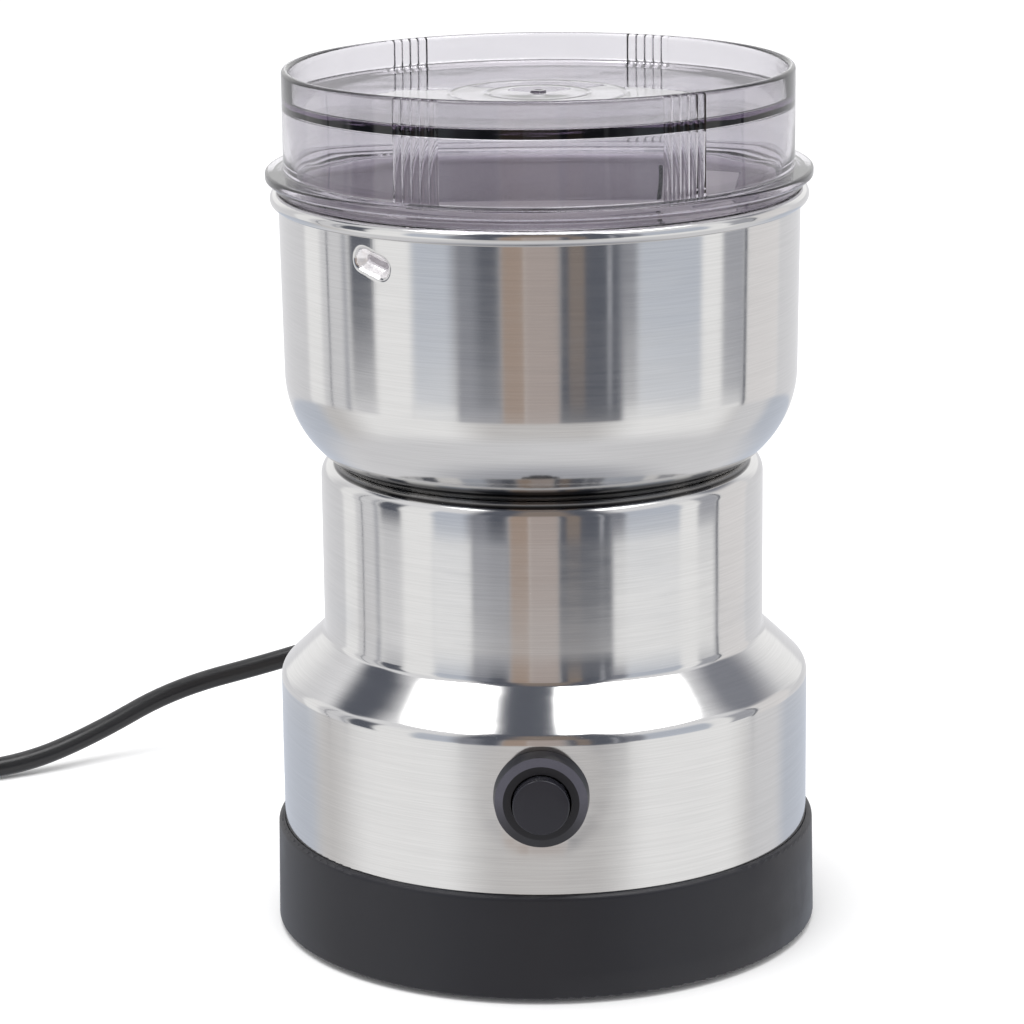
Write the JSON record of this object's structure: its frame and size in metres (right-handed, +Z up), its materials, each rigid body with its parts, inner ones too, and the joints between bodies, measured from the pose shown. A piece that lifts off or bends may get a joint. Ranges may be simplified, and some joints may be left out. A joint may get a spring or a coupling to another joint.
{
  "type": "electric coffee grinder",
  "caption": "Electric coffee grinder: brushed steel body on a black base, blade bowl under a clear lift-off lid, round push button in front, mains lead and plug at the back.",
  "frame": {"origin": "on the table, on the grinder's vertical axis", "axes": "+Z up through the bowl and the motor's shaft; the push button faces -Y and the lead leaves at +Y"},
  "size_m": [0.2641, 0.1717, 0.1687],
  "materials": {
    "sheet_steel": "polished sheet with fine lines round it",
    "base_plastic": "satin charcoal",
    "foot_rubber": "matte black",
    "screw_steel": "bright zinc",
    "white_nylon": "natural nylon",
    "bracket_plastic": "glass-filled, matte",
    "bearing_steel": "ground",
    "bush_bronze": "sintered",
    "laminated_iron": "stacked sheets",
    "copper_wire": "enamelled",
    "commutator_copper": "turned",
    "brush_brass": "bright",
    "carbon": "pressed carbon",
    "capacitor_shell": "gloss",
    "bezel_plastic": "semi-gloss black",
    "button_plastic": "satin black",
    "hub_plastic": "matte black",
    "blade_steel": "ground edges",
    "lid_plastic": "clear, faint smoke tint",
    "cord_pvc": "black, semi-gloss",
    "plug_plastic": "black, moulded",
    "pin_metal": "nickel plated"
  },
  "bodies": {
    "housing": {"base_cup": "base_plastic", "rubber_feet": "foot_rubber", "base_screws": "screw_steel", "body_shell": "sheet_steel", "bowl": "sheet_steel", "bowl_gasket": "foot_rubber", "bowl_screws": "screw_steel", "shaft_seal": "white_nylon", "motor_top_bracket": "bracket_plastic", "upper_bearing": "bearing_steel", "motor_bottom_bracket": "bracket_plastic", "lower_bush": "bush_bronze", "motor_screws": "screw_steel", "stator_core": "laminated_iron", "field_windings": "copper_wire", "brush_holders": "brush_brass", "carbon_brushes": "carbon", "brush_springs": "screw_steel", "suppression_capacitor": "capacitor_shell", "thermal_fuse": "white_nylon", "switch_bezel": "bezel_plastic", "switch_nut": "bezel_plastic", "switch_housing": "bracket_plastic", "switch_terminals": "brush_brass", "button_spring": "screw_steel", "internal_wiring": "cord_pvc", "cord_boot": "cord_pvc", "power_cord": "cord_pvc", "cord_coil": "cord_pvc", "plug_body": "plug_plastic", "plug_pins": "pin_metal"},
    "rotor": {"rotor_shaft": "bearing_steel", "thrust_washers": "screw_steel", "armature_core": "laminated_iron", "armature_windings": "copper_wire", "commutator": "commutator_copper", "cooling_fan": "white_nylon", "shaft_circlip": "screw_steel", "blade_hub": "hub_plastic", "grinding_blade": "blade_steel", "blade_nut": "blade_steel"},
    "button": {"button_cap": "button_plastic", "contact_bridge": "brush_brass"},
    "lid": {"lid": "lid_plastic"}
  },
  "joints": [
    {"name": "rotor_spin", "type": "hinge", "parent": "housing", "child": "rotor", "pos_m": [0, 0, 0.06], "axis": [0, 0, 1], "continuous": true},
    {"name": "button_press", "type": "slide", "parent": "housing", "child": "button", "axis": [0, 1, 0], "range_m": [0, 0.0025], "stiffness_N_per_m": 400, "springref_m": -0.003, "deforming": ["button_spring"]},
    {"name": "lid_lift", "type": "slide", "parent": "housing", "child": "lid", "axis": [0, 0, 1], "range_m": [0, 0.04]}
  ]
}
